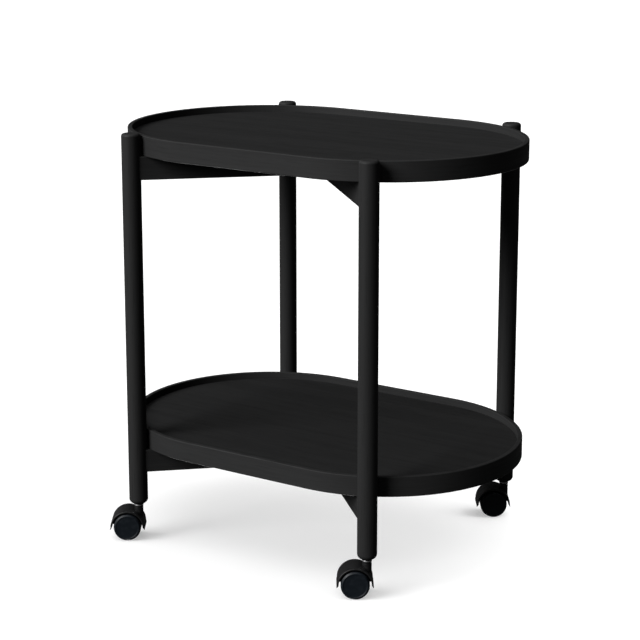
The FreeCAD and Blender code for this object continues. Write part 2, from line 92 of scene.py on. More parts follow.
# Roundings of small turned and moulded edges
CRISP, FINE, EASED, SOFT, ROUND, FULL = 0.0002, 0.0003, 0.0004, 0.0005, 0.0006, 0.0008
ON_AXIS = 1e-7  # a smaller radius is a point on the lathe's axis
BLACK, WHITE = (0.0, 0.0, 0.0), (1.0, 1.0, 1.0)
MIX_ONE, MIX_OTHER, MIX_RESULT = 6, 7, 2  # a Mix node's sockets for colours
CAMERA_FRAME = 36.0  # width in millimetres
# Turn from the front, height above the level and spread of each light, in degrees
LIGHTS = {
    "key_light": (-23.0, 32.0, 36.0),
    "side_light": (-80.0, 30.0, 60.0),
    "rear_light": (221.5, -44.0, 10.0),
    "top_light": (0.0, 86.0, 40.0),
    "shade_light": (150.0, 76.0, 95.0),
    "low_light": (-30.0, 15.0, 30.0),
    "front_contact_light": (-50.0, 45.0, 44.0),
    "back_contact_light": (112.0, 45.0, 44.0),
}


def length(name, description, default):
    """A size that a user may change."""
    return FloatProperty(name=name, description=description, default=default, min=0.0,
                         precision=4, subtype="DISTANCE", unit="LENGTH")


def colour(name, description, default):
    """A colour that a user may change."""
    return FloatVectorProperty(name=name, description=description, default=default,
                               min=0.0, max=1.0, subtype="COLOR")


def share(name, description, default):
    """A part of one, such as a roughness."""
    return FloatProperty(name=name, description=description, default=default, min=0.0, max=1.0,
                         subtype="FACTOR")


def amount(name, description, default):
    """A plain number, such as a light's power."""
    return FloatProperty(name=name, description=description, default=default)


def turn(name, description, degrees):
    """An angle that a user may change."""
    return FloatProperty(name=name, description=description, default=math.radians(degrees),
                         subtype="ANGLE", unit="ROTATION")


def steps(name, description, default):
    """How finely a round shape is divided."""
    return IntProperty(name=name, description=description, default=default, min=1)


class LegSizes(PropertyGroup):
    """Sizes of the turned legs"""

    top_round: length("Top Round", "Rounding of a leg's top edge", 0.004)
    foot_flat: length("Foot Flat", "Diameter of the flat under a leg's foot", 0.0146)
    foot_rise: length("Foot Rise", "How far the rounding of the foot runs up its side", 0.007)
    socket_bore: length("Socket Bore", "Diameter of the bore in a leg's foot", 0.01106)
    socket_depth: length("Socket Depth", "Depth of the bore in a leg's foot", 0.0233)
    sides: steps("Sides", "Divisions round a leg", 96)


class TraySizes(PropertyGroup):
    """Sizes of the bent tray rims"""

    wall: length("Wall", "Thickness of a rim", 0.007)
    outer_round: length("Outer Round", "Rounding of a rim's outer edges", 0.0012)
    inner_round: length("Inner Round", "Rounding of a rim's inner edges", 0.0010)
    groove_depth: length("Groove Depth", "How far the panel enters the rim", 0.003)
    groove_width: length("Groove Width", "Height of the groove for the panel", 0.0077)
    bend_steps: steps("Bend Steps", "Divisions of a quarter of a round end", 56)
    edge_steps: steps("Edge Steps", "Divisions of a rounded edge", 5)


class CastorSizes(PropertyGroup):
    """Sizes of the castors"""

    wheel_width: length("Wheel Width", "Width of a wheel", 0.016)
    wheel_inside: length("Wheel Inside", "Middle of the castor to a wheel's inner face", 0.0036)
    wheel_bevel: length("Wheel Bevel", "Bevel round a wheel's outer face", 0.0022)
    wheel_lip: length("Wheel Lip", "Raised ring round a wheel's face, bevel included", 0.0036)
    wheel_dish: length("Wheel Dish", "Depth of a wheel's face inside its ring", 0.0005)
    wheel_skin: length("Wheel Skin", "Thickness of a wheel's tread and face", 0.0032)
    wheel_hub: length("Wheel Hub", "Diameter of a wheel's hub", 0.010)
    axle_hole: length("Axle Hole", "Diameter of the hole for the axle", 0.00512)
    hood_gap: length("Hood Gap", "Wheel to the inside of its hood", 0.0026)
    hood_wall: length("Hood Wall", "Thickness of the hood", 0.0022)
    hood_width: length("Hood Width", "Width of the hood", 0.038)
    hood_round: length("Hood Round", "Rounding of the hood's outer edges", 0.001)
    lip_drop: length("Lip Drop", "How far the hood's lips reach below the axle", 0.0035)
    lip_flare: length("Lip Flare", "How far the hood's lips lean out", 0.0007)
    lip_edge: length("Lip Edge", "Thickness of the hood's lips at their tips", 0.0003)
    web: length("Web", "Thickness of the web between the wheels", 0.006)
    web_hub: length("Web Hub", "Diameter of the web round the axle", 0.013)
    post_diameter: length("Post Diameter", "Diameter of the swivel post", 0.013)
    post_bore: length("Post Bore", "Diameter of the hole for the stem", 0.00612)
    post_bore_depth: length("Post Bore Depth", "Depth of the hole for the stem", 0.0149)
    ring_drop: length("Ring Drop", "Top of the post to its ring groove", 0.0022)
    ring_width: length("Ring Width", "Width of the ring groove", 0.0012)
    ring_depth: length("Ring Depth", "Depth of the ring groove", 0.0007)
    sleeve_diameter: length("Sleeve Diameter", "Diameter of the socket's sleeve", 0.011)
    stem_bore: length("Stem Bore", "Diameter of the socket's bore", 0.00806)
    stem_bore_depth: length("Stem Bore Depth", "Depth of the socket's bore", 0.0183)
    collar_height: length("Collar Height", "Height of the socket's collar", 0.0017)
    sides: steps("Sides", "Divisions round a wheel, washer or post", 80)


class Finishes(PropertyGroup):
    """Colours and gloss of the table"""

    stain: colour("Stain", "Black stain in the hollows of the grain", (0.0182, 0.0183, 0.0185))
    streak: colour("Streak", "Black stain on the raised grain", (0.0226, 0.0227, 0.0229))
    rubbed: colour("Rubbed", "Stain on rubbed edges", (0.0195, 0.0195, 0.0195))
    hood: colour("Hood", "Moulded castor hoods", (0.0078, 0.0079, 0.0083))
    wheel: colour("Wheel", "Castor wheels", (0.0052, 0.0078, 0.0112))
    nylon: colour("Nylon", "Pivot washers", (0.045, 0.045, 0.045))
    socket: colour("Socket", "Blackened sockets", (0.010, 0.010, 0.010))
    zinc: colour("Zinc", "Bright washers", (0.80, 0.80, 0.81))
    steel: colour("Steel", "Plated stems, axles and bolts", (0.52, 0.52, 0.53))
    dust: colour("Dust", "Dust on the castors", (0.08, 0.079, 0.077))
    wood_gloss: share("Wood Gloss", "Specular level of the lacquered wood", 0.12)
    veneer_gloss: share("Veneer Gloss", "Specular level of the matt tray faces", 0.06)
    plastic_gloss: share("Plastic Gloss", "Specular level of the moulded plastic", 0.30)


class StageSettings(PropertyGroup):
    """Floor, light and camera"""

    floor: colour("Floor", "Pale floor", (0.90, 0.90, 0.90))
    floor_reach: length("Floor Reach", "Middle of the floor to its edge", 14.0)
    floor_drop: length("Floor Drop", "Room between the wheels and the floor", 0.0002)
    floor_lift: amount("Floor Lift", "Light in the floor itself, which softens the shadow", 0.175)
    floor_bounce: share("Floor Bounce", "How much light the floor throws back on the table", 0.045)
    fill: amount("Fill", "Even light from all round", 0.016)
    key_power: amount("Key Power", "Broad light on the table from the viewer's left", 4.1)
    side_power: amount("Side Power", "Broad light on the table from behind on the left", 0.6)
    rear_power: amount("Rear Power", "Light that the floor behind the table throws back", 2.3)
    top_power: amount("Top Power", "Broad light on the table from overhead", 0.75)
    shade_power: amount("Shade Power", "Light on the floor from overhead, which the table shades", 1.85)
    low_power: amount("Low Power", "Low light on the floor, which draws the legs' soft shadows", 1.6)
    contact_power: amount("Contact Power", "Light on the floor that the castors alone shade", 1.25)
    camera_place: FloatVectorProperty(name="Camera Place", description="Where the camera stands",
                                      default=(1.5248, -2.2800, 1.0265), subtype="XYZ", unit="LENGTH")
    camera_azimuth: turn("Camera Azimuth", "Camera's turn from the table's front", 33.908)
    camera_elevation: turn("Camera Elevation", "Camera's tilt from the level", 13.063)
    camera_lens: amount("Camera Lens", "Focal length in millimetres, on a 36 mm frame", 108.478)
    camera_shift: amount("Camera Shift", "Upright lens shift, as a part of the frame", -0.075)


class TrayTableSettings(PropertyGroup):
    """Everything that a user may change"""

    legs: PointerProperty(type=LegSizes, name="Legs", description="Sizes of the turned legs")
    trays: PointerProperty(type=TraySizes, name="Trays", description="Sizes of the tray rims")
    castors: PointerProperty(type=CastorSizes, name="Castors", description="Sizes of the castors")
    finishes: PointerProperty(type=Finishes, name="Finishes", description="Colours and gloss")
    stage: PointerProperty(type=StageSettings, name="Stage", description="Floor, light and camera")


def add_node(tree, kind, feeds=None, **settings):
    """A node with its settings. A feed is a socket to link from, or the input's own value."""
    node = tree.nodes.new(kind)
    for name, value in settings.items():
        setattr(node, name, value)
    for socket, value in (feeds or {}).items():
        if isinstance(value, bpy.types.NodeSocket):
            tree.links.new(value, node.inputs[socket])
        else:
            node.inputs[socket].default_value = value
    return node


def math_node(tree, operation, *feeds):
    """The result of a sum on one to three numbers."""
    return add_node(tree, "ShaderNodeMath", dict(enumerate(feeds)), operation=operation).outputs[0]


def noise(tree, place, scale, detail=3.0, roughness=0.5):
    """A cloudy value between 0 and 1, mostly near the middle."""
    feeds = {"Vector": place, "Scale": scale, "Detail": detail, "Roughness": roughness}
    return add_node(tree, "ShaderNodeTexNoise", feeds).outputs["Fac"]


def remap(tree, value, low, high, to_low=0.0, to_high=1.0):
    """A value spread smoothly from one range to another."""
    feeds = {"Value": value, "From Min": low, "From Max": high, "To Min": to_low, "To Max": to_high}
    return add_node(tree, "ShaderNodeMapRange", feeds, interpolation_type="SMOOTHSTEP").outputs["Result"]


def mixed(tree, part, one, other):
    """One colour turning into another; a colour is a socket or three numbers."""
    one, other = (shade if isinstance(shade, bpy.types.NodeSocket) else (*shade, 1.0)
                  for shade in (one, other))
    feeds = {"Factor": part, MIX_ONE: one, MIX_OTHER: other}
    return add_node(tree, "ShaderNodeMix", feeds, data_type="RGBA").outputs[MIX_RESULT]


def scaled(shade, factor):
    """A colour made lighter or darker."""
    return tuple(part * factor for part in shade)


def new_group(name, kind, inputs, outputs):
    """An empty node group with named sockets, and its input and output nodes."""
    tree = bpy.data.node_groups.new(name, kind)
    for way, sockets in (("INPUT", inputs), ("OUTPUT", outputs)):
        for label, socket in sockets.items():
            tree.interface.new_socket(name=label, in_out=way, socket_type=f"NodeSocket{socket}")
    return tree, tree.nodes.new("NodeGroupInput").outputs, tree.nodes.new("NodeGroupOutput").inputs


def use_group(tree, make, feeds):
    """The outputs of a shared node group, which is made at its first use."""
    group = bpy.data.node_groups.get(make.__name__) or make(make.__name__)
    return add_node(tree, "ShaderNodeGroup", feeds, node_tree=group).outputs


def stained_grain(name):
    """Soft streaks, short pores and relief of stained wood, in a space stretched along the grain."""
    tree, given, result = new_group(name, "ShaderNodeTree", {"Vector": "Vector"},
                                    {"Figure": "Float", "Pores": "Float", "Height": "Float"})
    cloud = noise(tree, given["Vector"], scale=0.35, detail=2.0)
    streaks = noise(tree, given["Vector"], scale=1.3, detail=5.0, roughness=0.58)
    dots = noise(tree, given["Vector"], scale=6.5, detail=2.0)
    cloud_share, streak_share = 0.6, 0.4
    blend = math_node(tree, "MULTIPLY_ADD", cloud, cloud_share,
                      math_node(tree, "MULTIPLY", streaks, streak_share))
    pores = remap(tree, dots, low=0.57, high=0.70, to_high=0.4)
    tree.links.new(remap(tree, blend, low=0.34, high=0.66), result["Figure"])
    tree.links.new(pores, result["Pores"])
    tree.links.new(math_node(tree, "SUBTRACT", streaks, pores), result["Height"])
    return tree


def rubbed_edge(name):
    """A broken mask along two edges at given levels, for stain that hands have rubbed."""
    inputs = {"Vector": "Vector", "Level": "Float", "Low": "Float", "High": "Float", "Width": "Float"}
    tree, given, result = new_group(name, "ShaderNodeTree", inputs, {"Rub": "Float"})
    inside = math_node(tree, "MINIMUM", math_node(tree, "SUBTRACT", given["Level"], given["Low"]),
                       math_node(tree, "SUBTRACT", given["High"], given["Level"]))
    edge = remap(tree, math_node(tree, "DIVIDE", inside, given["Width"]), 0.0, 1.0, to_low=1.0, to_high=0.0)
    patches = remap(tree, noise(tree, given["Vector"], scale=46.0, detail=5.0), low=0.42, high=0.70)
    tree.links.new(math_node(tree, "MULTIPLY", edge, patches), result["Rub"])
    return tree


def moulded_skin(name):
    """Fine sparked texture of a moulded surface, with a few scuffs and dust where it faces up."""
    inputs = {"Vector": "Vector", "Normal": "Vector", "Dust": "Float"}
    tree, given, result = new_group(name, "ShaderNodeTree", inputs,
                                    {"Height": "Float", "Scuff": "Float", "Dust": "Float"})
    up = add_node(tree, "ShaderNodeSeparateXYZ", {0: given["Normal"]}).outputs["Z"]
    facing = math_node(tree, "MULTIPLY", remap(tree, up, low=0.1, high=1.0), given["Dust"])
    settled = remap(tree, noise(tree, given["Vector"], scale=420.0), low=0.40, high=0.75)
    scuffs = remap(tree, noise(tree, given["Vector"], scale=190.0, detail=4.0), low=0.42, high=0.70)
    tree.links.new(noise(tree, given["Vector"], scale=2600.0, detail=2.0), result["Height"])
    tree.links.new(scuffs, result["Scuff"])
    tree.links.new(math_node(tree, "MULTIPLY", facing, settled), result["Dust"])
    return tree


def new_finish(name, specular):
    """An empty material: its tree, its shader and the Object coordinates."""
    material = bpy.data.materials.new(name)
    material.use_nodes = True
    tree = material.node_tree
    shader = tree.nodes["Principled BSDF"]
    shader.inputs["Specular IOR Level"].default_value = specular
    return material, tree, shader, tree.nodes.new("ShaderNodeTexCoord").outputs["Object"]


def feed_shader(tree, shader, base, rough, height, distance, strength):
    """Link a finish's colour, roughness and fine relief, which is as high as distance."""
    bump = add_node(tree, "ShaderNodeBump", {"Height": height, "Distance": distance, "Strength": strength})
    for socket, value in (("Base Color", base), ("Roughness", rough), ("Normal", bump.outputs["Normal"])):
        tree.links.new(value, shader.inputs[socket])


def wood_finish(name, gloss, grain, way=0.0, tone=1.0, relief=0.14, rough=(0.60, 0.50), edges=None,
                rub_width=0.003):
    """Black-stained wood.

    grain is a streak's size along X, Y and Z, way its turn about Z, and edges the levels that hands rub.
    """
    finishes = bpy.context.scene.tray_table.finishes
    material, tree, shader, place = new_finish(name, gloss)
    lie = {"Vector": place, "Rotation": (0.0, 0.0, way), "Scale": grain}
    stretched = add_node(tree, "ShaderNodeMapping", lie, vector_type="TEXTURE").outputs[0]
    wood = use_group(tree, stained_grain, {"Vector": stretched})
    shade = mixed(tree, wood["Figure"], scaled(finishes.stain, tone), scaled(finishes.streak, tone))
    if edges:
        level = add_node(tree, "ShaderNodeSeparateXYZ", {0: place}).outputs["Z"]
        worn = {"Vector": place, "Level": level, "Low": edges[0], "High": edges[1], "Width": rub_width}
        shade = mixed(tree, use_group(tree, rubbed_edge, worn)["Rub"], shade, finishes.rubbed)
    pore_tone = 0.4 * tone
    pored = mixed(tree, wood["Pores"], shade, scaled(finishes.stain, pore_tone))
    dulled = remap(tree, wood["Figure"], 0.0, 1.0, *rough)
    feed_shader(tree, shader, pored, dulled, wood["Height"], distance=0.0003, strength=relief)
    return material


def moulded_finish(name, base, rough, dust):
    """Black moulded plastic with a fine texture, scuffs and a trace of dust."""
    finishes = bpy.context.scene.tray_table.finishes
    material, tree, shader, place = new_finish(name, finishes.plastic_gloss)
    normal = tree.nodes.new("ShaderNodeNewGeometry").outputs["Normal"]
    skin = use_group(tree, moulded_skin, {"Vector": place, "Normal": normal, "Dust": dust})
    scuffed = mixed(tree, skin["Scuff"], base, scaled(base, factor=1.25))
    dulled = remap(tree, skin["Scuff"], 0.0, 1.0, to_low=rough, to_high=rough + 0.14)
    dusty = mixed(tree, skin["Dust"], scuffed, finishes.dust)
    feed_shader(tree, shader, dusty, dulled, skin["Height"], distance=0.00005, strength=0.25)
    return material


def metal_finish(name, base, rough):
    """Plated metal with fine turning marks and duller patches."""
    material, tree, shader, place = new_finish(name, specular=0.5)
    shader.inputs["Metallic"].default_value = 1.0
    fine_lines = {"Vector": place, "Scale": (900.0, 900.0, 6000.0)}
    lines = add_node(tree, "ShaderNodeMapping", fine_lines).outputs[0]
    dull = remap(tree, noise(tree, place, scale=240.0, detail=4.0), low=0.40, high=0.70)
    dulled = remap(tree, dull, 0.0, 1.0, to_low=rough, to_high=rough + 0.15)
    patchy = mixed(tree, dull, base, scaled(base, factor=0.7))
    feed_shader(tree, shader, patchy, dulled, noise(tree, lines, scale=1.0), distance=0.00003, strength=0.3)
    return material


def arc(centre, radius, start, end, count):
    """Points on an arc about a centre, from one angle to another in degrees."""
    angles = [math.radians(start + (end - start) * step / count) for step in range(count + 1)]
    return [Vector((centre[0] + radius * math.cos(angle), centre[1] + radius * math.sin(angle)))
            for angle in angles]


def rounded(corners, arc_steps=5):
    """The outline through corners of (across, up, radius), with an arc of that radius at each."""
    outline = []
    for index, (across, up, radius) in enumerate(corners):
        here = Vector((across, up))
        if radius <= 0.0:
            outline.append(here)
            continue
        back = (Vector(corners[index - 1][:2]) - here).normalized()
        on = (Vector(corners[(index + 1) % len(corners)][:2]) - here).normalized()
        half = back.angle(on) / 2
        centre = here + (back + on).normalized() * (radius / math.sin(half))
        arm = here + back * (radius / math.tan(half)) - centre
        sweep = math.copysign(math.pi - 2 * half, on.x * back.y - on.y * back.x)
        for step in range(arc_steps + 1):
            outline.append(centre + Matrix.Rotation(sweep * step / arc_steps, 2) @ arm)
    return outline


def outwards(work):
    """The same bmesh with its faces turned outwards."""
    bmesh.ops.recalc_face_normals(work, faces=work.faces)
    return work


def lathe(outline, sides):
    """A mesh turned round the upright axis from a closed half outline of (radius, height)."""
    work = bmesh.new()
    rings = []
    for radius, height in outline:
        angles = [math.tau * side / sides for side in range(sides)] if radius > ON_AXIS else [0.0]
        rings.append([work.verts.new((radius * math.cos(angle), radius * math.sin(angle), height))
                      for angle in angles])
    for ring, following in zip(rings, rings[1:] + rings[:1]):
        if len(ring) == len(following) == 1:
            continue
        for side in range(sides):
            after = (side + 1) % sides
            loop = [ring[side % len(ring)], ring[after % len(ring)],
                    following[after % len(following)], following[side % len(following)]]
            work.faces.new(dict.fromkeys(loop))
    return outwards(work)


def as_mesh(work, name):
    """The finished mesh of a bmesh, which is freed."""
    mesh = bpy.data.meshes.new(name)
    work.to_mesh(mesh)
    work.free()
    return mesh


def cleaned(mesh, name, merge=2e-6):
    """The same mesh with doubles merged, slivers dissolved and its faces turned outwards."""
    work = bmesh.new()
    work.from_mesh(mesh)
    bpy.data.meshes.remove(mesh)
    bmesh.ops.remove_doubles(work, verts=work.verts, dist=merge)
    bmesh.ops.dissolve_degenerate(work, edges=work.edges, dist=merge)
    return as_mesh(outwards(work), name)


def evaluated(piece, name):
    """The piece's mesh with its modifiers applied."""
    view = bpy.context.evaluated_depsgraph_get()
    mesh = bpy.data.meshes.new_from_object(piece.evaluated_get(view))
    mesh.name = name
    return mesh


def link_new(name, data):
    """A new object in the scene, at the origin: a piece, a light or the camera."""
    made = bpy.data.objects.new(name, data)
    bpy.context.scene.collection.objects.link(made)
    return made


def discard(piece):
    """Take a helper out of the scene again, with its mesh."""
    mesh = piece.data
    bpy.data.objects.remove(piece)
    bpy.data.meshes.remove(mesh)


def smooth(mesh, name, sharp=math.radians(38.0)):
    """Shade a mesh smooth up to its sharp edges, with flat faces kept flat."""
    mesh.shade_smooth()
    mesh.set_sharp_from_angle(angle=sharp)
    helper = link_new(name, mesh)
    weights = helper.modifiers.new("face_weight", "WEIGHTED_NORMAL")
    weights.keep_sharp = True
    finished = evaluated(helper, name)
    discard(helper)
    return finished


def stand_for(node, mesh, material, allowed=0.0003):
    """Smooth a mesh and put it in the place of a CAD node, after a look at its outer size."""
    mesh = smooth(mesh, node)
    mesh.materials.clear()
    mesh.materials.append(material)
    piece = link_new(f"{node}_dressed", mesh)
    low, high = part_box(node)
    for axis in range(3):
        places = [vertex.co[axis] for vertex in mesh.vertices]
        if abs(min(places) - low[axis]) > allowed or abs(max(places) - high[axis]) > allowed:
            raise RuntimeError(f"{node}: the piece doesn't fill the node's box on axis {axis}")
    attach(piece, BODY_OF[node])
    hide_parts(node)


def dress_node(node, material):
    """Give a CAD node that stays in view its finish."""
    mesh = frame["nodes"][node].data
    mesh.materials.clear()
    mesh.materials.append(material)


def extent(node):
    """A node's size along X, Y and Z."""
    low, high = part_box(node)
    return Vector(high) - Vector(low)


def swivel_axis(corner):
    """Where a leg and its castor stand on the floor."""
    return Vector(JOINTS[f"castor_swivel_{corner}"]["pos_m"][:2])


def wheel_radius():
    """Half the height of a wheel, and the height of its axle."""
    return extent("castor_wheel_near_front_left").z / 2


def castor_trail():
    """Distance from a castor's swivel axis to its axle."""
    axle = Vector(JOINTS["wheel_spin_near_front_left"]["pos_m"][:2])
    return (axle - swivel_axis("front_left")).length


def castor_place(corner):
    """From the castor's own axes, X from swivel to axle and Y along the axle, to the frame."""
    wheel = JOINTS[f"wheel_spin_near_{corner}"]
    swivel = swivel_axis(corner)
    trail = (Vector(wheel["pos_m"][:2]) - swivel).normalized()
    along = Vector(wheel["axis"][:2])
    turned = Matrix(((trail.x, along.x, 0), (trail.y, along.y, 0), (0, 0, 1)))
    return Matrix.Translation((*swivel, 0)) @ turned.to_4x4()


def stand_turned(node, corner, outline, sides, material):
    """Turn a piece from its half outline and stand it on a leg's axis."""
    mesh = as_mesh(lathe(outline, sides), node)
    mesh.transform(Matrix.Translation((*swivel_axis(corner), 0.0)))
    stand_for(node, mesh, material)


class TRAYTABLE_OT_legs(Operator):
    """Turn the four legs, with a bore for the castor's socket in each foot"""

    bl_idname = "tray_table.legs"
    bl_label = "Make Legs"

    def execute(self, context):
        sizes = context.scene.tray_table.legs
        low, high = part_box("leg_front_left")
        gloss = context.scene.tray_table.finishes.wood_gloss
        material = wood_finish("leg_wood", gloss, LEG_GRAIN, edges=(low.z, high.z), rub_width=0.005)
        outline = self.outline(sizes, (high.x - low.x) / 2, low.z, high.z)
        for corner in CORNERS:
            stand_turned(f"leg_{corner}", corner, outline, sizes.sides, material)
        return {"FINISHED"}

    def outline(self, sizes, radius, low, high):
        """Half a leg's section: up the foot's rounding and the side, over the top and down to the bore."""
        bore, bore_top = sizes.socket_bore / 2, low + sizes.socket_depth
        inset = radius - sizes.foot_flat / 2
        foot_round = (sizes.foot_rise ** 2 + inset ** 2) / (2 * inset)
        start = -math.degrees(math.asin(sizes.foot_rise / foot_round))
        foot = arc((radius - foot_round, low + sizes.foot_rise), foot_round, start, 0.0, count=10)
        rest = rounded([(*foot.pop(), 0.0), (radius, high, sizes.top_round), (0.0, high, 0.0),
                        (0.0, bore_top, 0.0), (bore, bore_top, 0.0), (bore, low, 0.0)], arc_steps=8)
        return foot + rest


class TRAYTABLE_OT_bars(Operator):
    """Finish the crossed bars and the bolts on which they fold"""

    bl_idname = "tray_table.bars"
    bl_label = "Finish Crossed Bars"

    def execute(self, context):
        finishes = context.scene.tray_table.finishes
        steel = metal_finish("plated_steel", finishes.steel, rough=0.30)
        nylon = moulded_finish("pivot_nylon", finishes.nylon, rough=0.50, dust=0.0)
        leg = swivel_axis("back_right")
        along = math.atan2(leg.y, leg.x)
        for tier in TIERS:
            for bar, side in (("main", 1), ("folding", -1)):
                node = f"{tier}_bar_{bar}"
                low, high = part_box(node)
                wood = wood_finish(node, finishes.wood_gloss, BAR_GRAIN, along * side, edges=(low.z, high.z))
                dress_node(node, wood)
            dress_node(f"{tier}_pivot_bolt", steel)
            dress_node(f"{tier}_pivot_nut", steel)
            dress_node(f"{tier}_pivot_washer", nylon)
        return {"FINISHED"}


def rim_tree():
    """A rim swept along the tray's outline: a rounded section with the panel's groove in its inner side."""
    inputs = {label: "Float" for label in ("Length", "Width", "Height", "Wall", "Outer Round", "Inner Round",
                                           "Groove Depth", "Groove Width", "Base")}
    inputs.update({"Bend Steps": "Int", "Edge Steps": "Int", "Material": "Material"})
    tree, given, result = new_group("bent_rim", "GeometryNodeTree", inputs, {"Geometry": "Geometry"})
    outer = math_node(tree, "MULTIPLY", given["Wall"], 0.5)
    inner = math_node(tree, "MULTIPLY", given["Wall"], -0.5)
    deep = math_node(tree, "ADD", inner, given["Groove Depth"])
    middle = math_node(tree, "MULTIPLY", given["Height"], 0.5)
    groove_top = math_node(tree, "MULTIPLY_ADD", given["Groove Width"], 0.5, middle)
    groove_foot = math_node(tree, "MULTIPLY_ADD", given["Groove Width"], -0.5, middle)
    corners = ((outer, 0.0, given["Outer Round"]), (outer, given["Height"], given["Outer Round"]),
               (inner, given["Height"], given["Inner Round"]), (inner, groove_top, 0.0),
               (deep, groove_top, 0.0), (deep, groove_foot, 0.0),
               (inner, groove_foot, 0.0), (inner, 0.0, given["Inner Round"]))
    index = tree.nodes.new("GeometryNodeInputIndex").outputs[0]
    places = add_node(tree, "GeometryNodeIndexSwitch", {"Index": index}, data_type="VECTOR")
    rounds = add_node(tree, "GeometryNodeIndexSwitch", {"Index": index}, data_type="FLOAT")
    for switch in (places, rounds):
        while len(switch.index_switch_items) < len(corners):
            switch.index_switch_items.new()
    for number, (across, up, radius) in enumerate(corners, start=1):
        down = math_node(tree, "MULTIPLY", up, -1.0)
        spot = add_node(tree, "ShaderNodeCombineXYZ", {"X": across, "Y": down}).outputs[0]
        tree.links.new(spot, places.inputs[number])
        if radius:
            tree.links.new(radius, rounds.inputs[number])
    line = add_node(tree, "GeometryNodeMeshLine", {"Count": len(corners)}, mode="OFFSET")
    bent = add_node(tree, "GeometryNodeSetPosition", {
        "Geometry": line.outputs[0], "Position": places.outputs[0]})
    open_section = add_node(tree, "GeometryNodeMeshToCurve", {"Mesh": bent.outputs[0]})
    closed = add_node(tree, "GeometryNodeSetSplineCyclic", {
        "Geometry": open_section.outputs[0], "Cyclic": True})
    section = add_node(tree, "GeometryNodeFilletCurve", {
        "Curve": closed.outputs[0], "Count": given["Edge Steps"], "Radius": rounds.outputs[0]}, mode="POLY")
    path_length = math_node(tree, "SUBTRACT", given["Length"], given["Wall"])
    path_width = math_node(tree, "SUBTRACT", given["Width"], given["Wall"])
    sheet = add_node(tree, "GeometryNodeCurvePrimitiveQuadrilateral", {
        "Width": path_length, "Height": path_width})
    oval = add_node(tree, "GeometryNodeFilletCurve", {
        "Curve": sheet.outputs[0], "Count": given["Bend Steps"], "Limit Radius": True,
        "Radius": math_node(tree, "MULTIPLY", path_width, 0.5)}, mode="POLY")
    upright = add_node(tree, "GeometryNodeSetCurveNormal", {"Curve": oval.outputs[0]}, mode="Z_UP")
    swept = add_node(tree, "GeometryNodeCurveToMesh", {
        "Curve": upright.outputs[0], "Profile Curve": section.outputs[0]})
    joined = add_node(tree, "GeometryNodeMergeByDistance", {"Geometry": swept.outputs[0], "Distance": 1e-6})
    lift = add_node(tree, "ShaderNodeCombineXYZ", {"Z": given["Base"]})
    raised = add_node(tree, "GeometryNodeTransform", {
        "Geometry": joined.outputs[0], "Translation": lift.outputs[0]})
    real = add_node(tree, "GeometryNodeRealizeInstances", {"Geometry": raised.outputs[0]})
    painted = add_node(tree, "GeometryNodeSetMaterial", {
        "Geometry": real.outputs[0], "Material": given["Material"]})
    tree.links.new(painted.outputs[0], result["Geometry"])
    return tree


class TRAYTABLE_OT_trays(Operator):
    """Bend the two tray rims and finish the panels and veneer faces inside them"""

    bl_idname = "tray_table.trays"
    bl_label = "Make Trays"

    def execute(self, context):
        sizes, finishes = context.scene.tray_table.trays, context.scene.tray_table.finishes
        tree = rim_tree()
        veneer = wood_finish("tray_veneer", finishes.veneer_gloss, VENEER_GRAIN, tone=0.85, relief=0.05,
                             rough=(0.70, 0.62))
        core = wood_finish("tray_core", finishes.veneer_gloss, CORE_GRAIN, tone=1.5, rough=(0.80, 0.70))
        for tier in TIERS:
            node = f"{tier}_tray_rim"
            low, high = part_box(node)
            material = wood_finish(f"{tier}_rim_wood", finishes.wood_gloss, RIM_GRAIN, tone=1.12,
                                   edges=(low.z, high.z))
            stand_for(node, self.rim(tree, sizes, node, low, high, material), material)
            dress_node(f"{tier}_tray_top_face", veneer)
            dress_node(f"{tier}_tray_under_face", veneer)
            dress_node(f"{tier}_tray_panel", core)
        return {"FINISHED"}

    def rim(self, tree, sizes, node, low, high, material):
        """The swept rim as a plain mesh, with its faces turned outwards."""
        values = {
            "Length": high.x - low.x, "Width": high.y - low.y, "Height": high.z - low.z, "Wall": sizes.wall,
            "Outer Round": sizes.outer_round, "Inner Round": sizes.inner_round, "Base": low.z,
            "Groove Depth": sizes.groove_depth, "Groove Width": sizes.groove_width,
            "Bend Steps": sizes.bend_steps, "Edge Steps": sizes.edge_steps, "Material": material,
        }
        helper = link_new(f"{node}_sweep", bpy.data.meshes.new(f"{node}_sweep"))
        sweep = helper.modifiers.new("sweep", "NODES")
        sweep.node_group = tree
        for item in tree.interface.items_tree:
            if item.in_out == "INPUT":
                sweep[item.identifier] = values[item.name]
        mesh = evaluated(helper, node)
        discard(helper)
        return cleaned(mesh, node)


